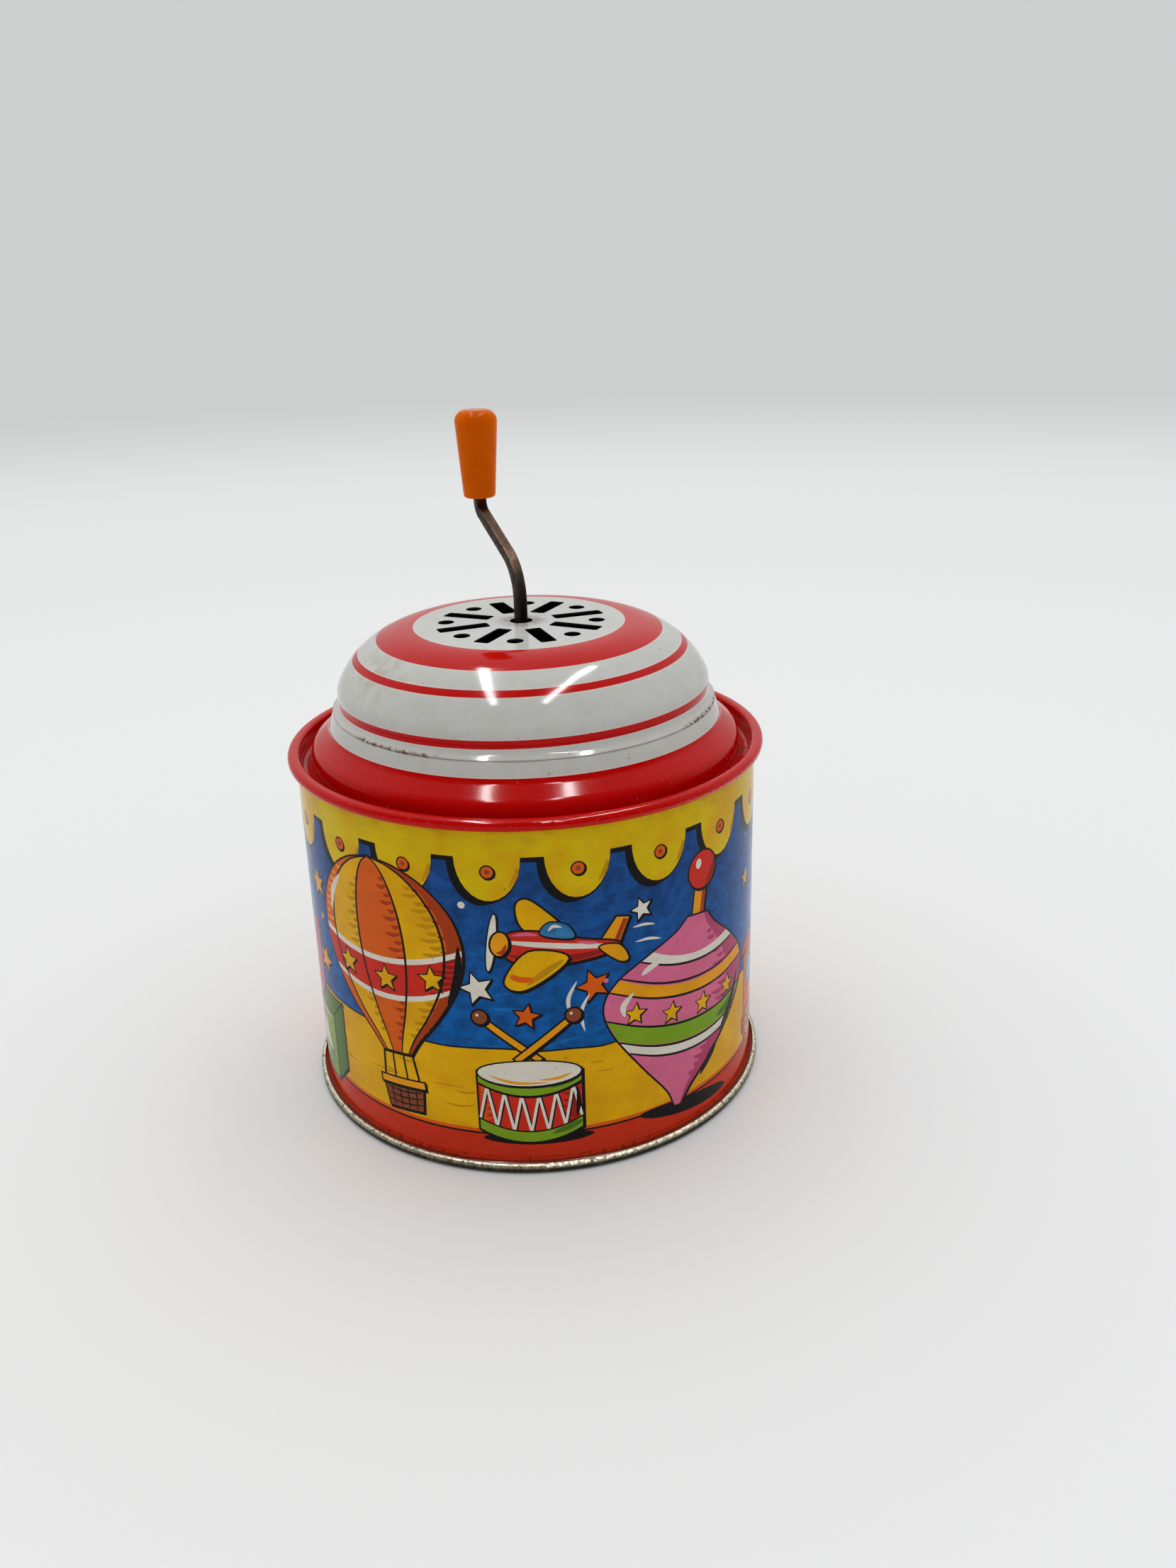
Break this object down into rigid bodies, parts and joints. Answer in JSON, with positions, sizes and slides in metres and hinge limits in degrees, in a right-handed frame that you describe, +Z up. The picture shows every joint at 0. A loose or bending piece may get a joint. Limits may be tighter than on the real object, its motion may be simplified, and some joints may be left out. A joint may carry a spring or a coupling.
{
  "type": "hand-crank music tin",
  "caption": "Round printed tinplate music tin with a seamed rim, a pressed dome with sound slots, and a bent crank with a tapered knob that turns a pinned drum against a comb.",
  "frame": {"origin": "middle of the base ring's foot, on the floor, under the crank's axis", "axes": "+Z up along the crank's axis, -Y towards the side shown in the picture, +X to its right"},
  "size_m": [0.1026, 0.1026, 0.1445],
  "materials": {
    "printed_tin": "gloss print over tinplate",
    "tinned_steel": "bare tinplate, dull, spotted",
    "red_lacquer": "gloss lacquer over tinplate",
    "white_lacquer": "gloss lacquer over tinplate",
    "crank_steel": "dark drawn steel",
    "orange_plastic": "gloss",
    "brass": "turned",
    "frame_steel": "plated",
    "screw_steel": "plated",
    "comb_steel": "ground"
  },
  "bodies": {
    "tin": {"body_wall": "printed_tin", "base_plate": "tinned_steel", "shoulder_ring": "red_lacquer", "dome_cap": "white_lacquer", "footstep_bearing": "brass", "crank_bearing_tube": "brass", "drum_bushes": "brass", "frame_lower_plate": "frame_steel", "frame_upper_plate": "frame_steel", "frame_pillars": "frame_steel", "movement_spacers": "frame_steel", "comb_bracket": "frame_steel", "comb_clamp": "frame_steel", "mounting_screws": "screw_steel", "pillar_screws": "screw_steel", "comb_screws": "screw_steel", "bracket_screws": "screw_steel", "comb": "comb_steel"},
    "crank": {"crank_rod": "crank_steel", "crank_pinion": "brass", "crank_collar": "brass", "collar_screw": "screw_steel"},
    "knob": {"crank_knob": "orange_plastic"},
    "drum": {"drum_arbor": "frame_steel", "drum_gear": "brass", "drum_caps": "brass", "drum_sleeve": "brass"}
  },
  "joints": [
    {"name": "crank_turn", "type": "hinge", "parent": "tin", "child": "crank", "pos_m": [0, 0, 0.05], "axis": [0, 0, 1], "continuous": true},
    {"name": "knob_spin", "type": "hinge", "parent": "crank", "child": "knob", "pos_m": [-0.00779, 0.01853, 0.1352], "axis": [0, 0, 1], "continuous": true},
    {"name": "drum_spin", "type": "hinge", "parent": "tin", "child": "drum", "pos_m": [0.021, 0, 0.03], "axis": [0, 0, 1], "continuous": true}
  ],
  "couplings": [
    {"joint": "drum_spin", "follows": "crank_turn", "ratio": -0.25}
  ]
}
